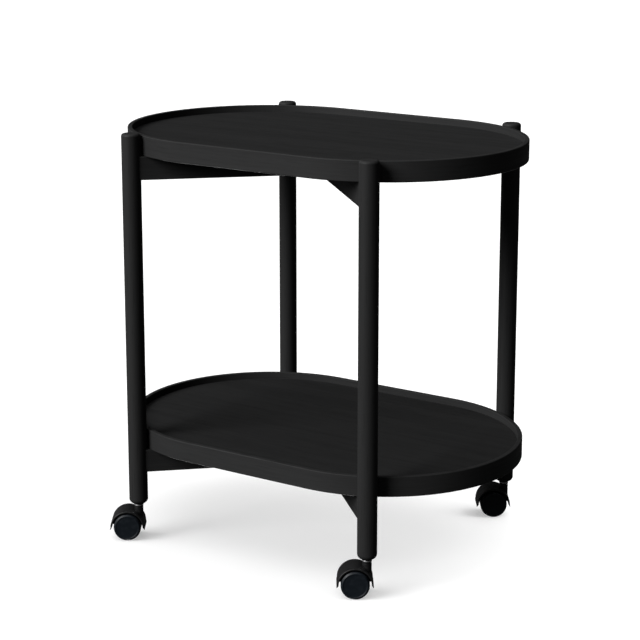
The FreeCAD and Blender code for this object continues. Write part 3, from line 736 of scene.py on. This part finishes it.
class TRAYTABLE_OT_castor_fixings(Operator):
    """Turn the collared sockets and bright washers, and finish the stems"""

    bl_idname = "tray_table.castor_fixings"
    bl_label = "Make Castor Fixings"

    def execute(self, context):
        sizes, finishes = context.scene.tray_table.castors, context.scene.tray_table.finishes
        black = moulded_finish("socket_black", finishes.socket, rough=0.42, dust=0.05)
        zinc = metal_finish("washer_zinc", finishes.zinc, rough=0.45)
        stem_steel = metal_finish("stem_steel", finishes.steel, rough=0.32)
        turned = {"castor_socket": (self.socket(sizes), black), "castor_washer": (self.washer(sizes), zinc)}
        for corner in CORNERS:
            for kind, (outline, material) in turned.items():
                stand_turned(f"{kind}_{corner}", corner, outline, sizes.sides, material)
            dress_node(f"castor_stem_{corner}", stem_steel)
        return {"FINISHED"}

    def socket(self, sizes):
        """Half the section of the sleeve in the leg, with its collar below."""
        low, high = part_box("castor_socket_front_left")
        collar, sleeve, bore = (high.x - low.x) / 2, sizes.sleeve_diameter / 2, sizes.stem_bore / 2
        shoulder, bore_top = low.z + sizes.collar_height, low.z + sizes.stem_bore_depth
        return rounded([
            (bore, low.z, 0.0), (collar, low.z, ROUND), (collar, shoulder, FINE), (sleeve, shoulder, 0.0),
            (sleeve, high.z, SOFT), (0.0, high.z, 0.0), (0.0, bore_top, 0.0), (bore, bore_top, 0.0)])

    def washer(self, sizes):
        """Half the section of the washer between collar and swivel post."""
        low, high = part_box("castor_washer_front_left")
        hole, edge = sizes.post_bore / 2, (high.x - low.x) / 2
        return rounded([(hole, low.z, CRISP), (edge, low.z, EASED),
                        (edge, high.z, EASED), (hole, high.z, CRISP)])


def prism(outline, half_width):
    """An upright plate from an outline in X and Z, as thick as twice half_width along Y."""
    work = bmesh.new()
    sides = [[work.verts.new((across, side * half_width, up)) for across, up in outline] for side in (-1, 1)]
    work.faces.new(sides[0])
    work.faces.new(sides[1])
    for index in range(len(outline)):
        after = (index + 1) % len(outline)
        work.faces.new((sides[0][index], sides[0][after], sides[1][after], sides[1][index]))
    return outwards(work)


def hood_stations(sizes, axle, inside, arc_count=72, lip_count=6):
    """Places along the hood from lip to lip: its inner point, its outer point and half its width there."""
    outside, half_width = inside + sizes.hood_wall, sizes.hood_width / 2
    lips = []
    for side in (1, -1):
        tip = Vector((axle.x + side * (outside + sizes.lip_flare), axle.y - sizes.lip_drop))
        inner_tip = tip - Vector((side * sizes.lip_edge, 0.0))
        inner_root = Vector((axle.x + side * inside, axle.y))
        outer_root = Vector((axle.x + side * outside, axle.y))
        lip = []
        for step in range(lip_count):
            along = step / lip_count
            narrow = half_width - sizes.hood_round * (1.0 - along) ** 2
            lip.append((inner_tip.lerp(inner_root, along), tip.lerp(outer_root, along), narrow))
        lips.append(lip)
    roof = [(near, far, half_width) for near, far in
            zip(arc(axle, inside, 0, 180, arc_count), arc(axle, outside, 0, 180, arc_count))]
    return lips[0] + roof + lips[1][::-1]


def fender(sizes, axle, inside, outer_share=0.6, inner_share=0.12):
    """The curved roof over the wheels, thinning into a pointed lip at each end.

    Its roundings are at most these shares of its thickness.
    """
    work = bmesh.new()
    loops = []
    for near, far, width in hood_stations(sizes, axle, inside):
        thick = (far - near).length
        outward = (far - near).normalized()
        outer_round, inner_round = min(sizes.hood_round, thick * outer_share), thick * inner_share
        section = rounded([(0.0, -width, inner_round), (thick, -width, outer_round),
                           (thick, width, outer_round), (0.0, width, inner_round)], arc_steps=4)
        loops.append([work.verts.new((near.x + outward.x * depth, across, near.y + outward.y * depth))
                      for depth, across in section])
    for loop, following in zip(loops, loops[1:]):
        for index in range(len(loop)):
            after = (index + 1) % len(loop)
            work.faces.new((loop[index], loop[after], following[after], following[index]))
    work.faces.new(loops[0])
    work.faces.new(loops[-1])
    return outwards(work)


def post_outline(sizes, foot, top):
    """Half the section of the swivel post, with its ring groove and the bore for the stem."""
    post, bore = sizes.post_diameter / 2, sizes.post_bore / 2
    ring_top, bore_foot = top - sizes.ring_drop, top - sizes.post_bore_depth
    ring_foot, groove = ring_top - sizes.ring_width, post - sizes.ring_depth
    return rounded([
        (0.0, foot, 0.0), (post, foot, 0.0), (post, ring_foot, CRISP), (groove, ring_foot, 0.0),
        (groove, ring_top, 0.0), (post, ring_top, CRISP), (post, top, EASED), (bore, top, CRISP),
        (bore, bore_foot, 0.0), (0.0, bore_foot, 0.0)])


def hood_mesh(sizes):
    """The whole moulded hood in the castor's own axes: roof, web, swivel post and axle hole in one skin."""
    axle = Vector((castor_trail(), wheel_radius()))
    inside = wheel_radius() + sizes.hood_gap
    embedded = inside + sizes.hood_wall / 2
    post_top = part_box("castor_hood_front_left")[1].z
    plate = arc(axle, embedded, 0, 180, count=48) + arc(axle, sizes.web_hub / 2, 180, 360, count=24)
    parts = {
        "roof": fender(sizes, axle, inside),
        "web": prism(plate, sizes.web / 2),
        "post": lathe(post_outline(sizes, axle.y + sizes.hood_wall, post_top), sizes.sides),
        "well": prism(arc(axle, embedded, 0, 360, count=96)[:-1], sizes.hood_width),
        "axle_hole": prism(arc(axle, sizes.axle_hole / 2, 0, 360, count=32)[:-1], sizes.hood_width),
    }
    helpers = {label: link_new(f"hood_{label}", as_mesh(work, f"hood_{label}"))
               for label, work in parts.items()}
    cuts = (("post", "well", "DIFFERENCE"), ("roof", "post", "UNION"), ("roof", "web", "UNION"),
            ("roof", "axle_hole", "DIFFERENCE"))
    for target, tool, operation in cuts:
        cut = helpers[target].modifiers.new(tool, "BOOLEAN")
        cut.object, cut.operation, cut.solver = helpers[tool], operation, "EXACT"
    mesh = evaluated(helpers["roof"], "castor_hood")
    for helper in helpers.values():
        discard(helper)
    return cleaned(mesh, "castor_hood")


class TRAYTABLE_OT_castor_hoods(Operator):
    """Mould the four castor hoods, each with its lips, web and swivel post"""

    bl_idname = "tray_table.castor_hoods"
    bl_label = "Make Castor Hoods"

    def execute(self, context):
        sizes, finishes = context.scene.tray_table.castors, context.scene.tray_table.finishes
        material = moulded_finish("hood_plastic", finishes.hood, rough=0.42, dust=0.08)
        pattern = hood_mesh(sizes)
        for corner in CORNERS:
            node = f"castor_hood_{corner}"
            mesh = pattern.copy()
            mesh.transform(castor_place(corner))
            stand_for(node, mesh, material, allowed=0.0006)
        bpy.data.meshes.remove(pattern)
        return {"FINISHED"}


class TRAYTABLE_OT_castor_wheels(Operator):
    """Turn the eight castor wheels and finish their axles"""

    bl_idname = "tray_table.castor_wheels"
    bl_label = "Make Castor Wheels"

    def execute(self, context):
        sizes, finishes = context.scene.tray_table.castors, context.scene.tray_table.finishes
        material = moulded_finish("wheel_plastic", finishes.wheel, rough=0.44, dust=0.06)
        axle_steel = metal_finish("axle_steel", finishes.steel, rough=0.30)
        outline = self.outline(sizes, wheel_radius())
        stand = Matrix.Translation((castor_trail(), 0.0, wheel_radius()))
        for corner in CORNERS:
            for name, side in WHEEL_SIDES.items():
                node = f"castor_wheel_{name}_{corner}"
                facing = [(across, along * side) for across, along in outline]
                mesh = as_mesh(lathe(facing, sizes.sides), node)
                mesh.transform(castor_place(corner) @ stand @ Matrix.Rotation(-math.pi / 2, 4, "X"))
                stand_for(node, mesh, material)
            dress_node(f"castor_axle_{corner}", axle_steel)
        return {"FINISHED"}

    def outline(self, sizes, radius):
        """Half a wheel's section: hub, hollow inside, tread, bevel and dished face."""
        hub, hole = sizes.wheel_hub / 2, sizes.axle_hole / 2
        inner, outer = sizes.wheel_inside, sizes.wheel_inside + sizes.wheel_width
        face = outer - sizes.wheel_dish
        cavity = face - sizes.wheel_skin
        tread, disc = radius - sizes.wheel_skin, radius - sizes.wheel_lip
        return rounded([
            (hole, inner, 0.0), (hub, inner, EASED), (hub, cavity, SOFT), (tread, cavity, SOFT),
            (tread, inner, FINE), (radius, inner, ROUND), (radius, outer - sizes.wheel_bevel, FULL),
            (radius - sizes.wheel_bevel, outer, ROUND), (disc, outer, CRISP),
            (disc - sizes.wheel_dish, face, FINE), (0.0, face, 0.0), (0.0, cavity, 0.0), (hole, cavity, 0.0),
        ])


def light_group(name, pieces, state):
    """The pieces that a light reaches or that shade it, or with EXCLUDE the ones that it passes by."""
    group = bpy.data.collections.new(name)
    for piece in pieces:
        group.objects.link(piece)
    for member in group.collection_objects:
        member.light_linking.link_state = state
    return group


def castor_pieces(side):
    """All that stands under the two front or the two back legs."""
    return [piece for piece in bpy.data.objects
            if piece.name.startswith("castor_") and f"_{side}_" in piece.name]


def broad_light(name, power, lit, shaders=None):
    """A soft light from far away on the lit group, which all pieces shade, or only the shaders."""
    azimuth, elevation, spread = LIGHTS[name]
    light = bpy.data.lights.new(name, "SUN")
    light.energy, light.angle = power, math.radians(spread)
    lamp = link_new(name, light)
    lamp.rotation_euler = (math.radians(90.0 - elevation), 0.0, math.radians(azimuth))
    lamp.light_linking.receiver_collection = lit
    lamp.light_linking.blocker_collection = shaders


class TRAYTABLE_OT_stage(Operator):
    """Lay the pale floor, set the lights and stand the camera"""

    bl_idname = "tray_table.stage"
    bl_label = "Set Up Stage"

    def execute(self, context):
        stage = context.scene.tray_table.stage
        work = bmesh.new()
        bmesh.ops.create_grid(work, x_segments=8, y_segments=8, size=stage.floor_reach)
        floor = link_new("studio_floor", as_mesh(work, "studio_floor"))
        floor.location.z = -stage.floor_drop
        floor.data.materials.append(self.floor_finish(stage))
        self.surround(context.scene, stage)
        table = light_group("all_but_floor", [floor], "EXCLUDE")
        ground = light_group("floor_only", [floor], "INCLUDE")
        front, back = (light_group(f"{side}_castors", castor_pieces(side), "INCLUDE")
                       for side in ("front", "back"))
        broad_light("key_light", stage.key_power, table)
        broad_light("side_light", stage.side_power, table)
        broad_light("rear_light", stage.rear_power, table, table)
        broad_light("top_light", stage.top_power, table)
        broad_light("shade_light", stage.shade_power, ground)
        broad_light("low_light", stage.low_power, ground)
        broad_light("front_contact_light", stage.contact_power, ground, front)
        broad_light("back_contact_light", stage.contact_power, ground, back)
        self.camera(context.scene, stage)
        context.scene.view_settings.view_transform = "Standard"
        return {"FINISHED"}

    def floor_finish(self, stage):
        """A matt pale floor that throws little light back on the table."""
        material, tree, shader, place = new_finish("studio_floor", specular=0.0)
        patches = remap(tree, noise(tree, place, scale=9.0, detail=4.0), low=0.3, high=0.7)
        pale = mixed(tree, patches, stage.floor, scaled(stage.floor, factor=0.985))
        seen = tree.nodes.new("ShaderNodeLightPath").outputs["Is Camera Ray"]
        tree.links.new(mixed(tree, seen, (stage.floor_bounce,) * 3, pale), shader.inputs["Base Color"])
        tree.links.new(mixed(tree, seen, BLACK, WHITE), shader.inputs["Emission Color"])
        shader.inputs["Emission Strength"].default_value = stage.floor_lift
        shader.inputs["Roughness"].default_value = 1.0
        return material

    def surround(self, scene, stage):
        """White behind the table, with a weaker even light from all round."""
        world = bpy.data.worlds.new("studio_surround")
        world.use_nodes = True
        tree = world.node_tree
        tree.nodes.clear()
        light, white = (add_node(tree, "ShaderNodeBackground", {"Color": (*WHITE, 1.0), "Strength": power})
                        for power in (stage.fill, 1.0))
        seen = tree.nodes.new("ShaderNodeLightPath").outputs["Is Camera Ray"]
        both = add_node(tree, "ShaderNodeMixShader", {0: seen, 1: light.outputs[0], 2: white.outputs[0]})
        add_node(tree, "ShaderNodeOutputWorld", {"Surface": both.outputs[0]})
        scene.world = world

    def camera(self, scene, stage):
        """Stand the camera where the photograph was taken from."""
        data = bpy.data.cameras.new("camera")
        data.lens, data.sensor_width, data.shift_y = stage.camera_lens, CAMERA_FRAME, stage.camera_shift
        camera = link_new("camera", data)
        camera.location = stage.camera_place
        camera.rotation_euler = (math.pi / 2 - stage.camera_elevation, 0.0, stage.camera_azimuth)
        scene.camera = camera


STEPS = (
    TRAYTABLE_OT_legs, TRAYTABLE_OT_bars, TRAYTABLE_OT_trays, TRAYTABLE_OT_castor_fixings,
    TRAYTABLE_OT_castor_hoods, TRAYTABLE_OT_castor_wheels, TRAYTABLE_OT_stage,
)


class TRAYTABLE_PT_sidebar(Panel):
    """Lists the steps that build the table, and its settings"""

    bl_idname = "TRAYTABLE_PT_sidebar"
    bl_label = "Tray Table"
    bl_space_type = "VIEW_3D"
    bl_region_type = "UI"
    bl_category = "Tray Table"

    def draw(self, context):
        settings = context.scene.tray_table
        for step in STEPS:
            self.layout.operator(step.bl_idname)
        for group in (settings.legs, settings.trays, settings.castors, settings.finishes, settings.stage):
            box = self.layout.box()
            for name in group.__annotations__:
                box.prop(group, name)


CLASSES = (LegSizes, TraySizes, CastorSizes, Finishes, StageSettings, TrayTableSettings, *STEPS,
           TRAYTABLE_PT_sidebar)


def register():
    """Make the settings, steps and panel known to Blender."""
    for item in CLASSES:
        bpy.utils.register_class(item)
    bpy.types.Scene.tray_table = PointerProperty(type=TrayTableSettings, name="Tray Table",
                                                 description="Sizes, finishes and stage of the tray table")


def unregister():
    """Take them away again."""
    del bpy.types.Scene.tray_table
    for item in reversed(CLASSES):
        bpy.utils.unregister_class(item)


def main():
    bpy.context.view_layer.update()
    register()
    bpy.ops.tray_table.legs()
    bpy.ops.tray_table.bars()
    bpy.ops.tray_table.trays()
    bpy.ops.tray_table.castor_fixings()
    bpy.ops.tray_table.castor_hoods()
    bpy.ops.tray_table.castor_wheels()
    bpy.ops.tray_table.stage()


if __name__ == "__main__":
    main()
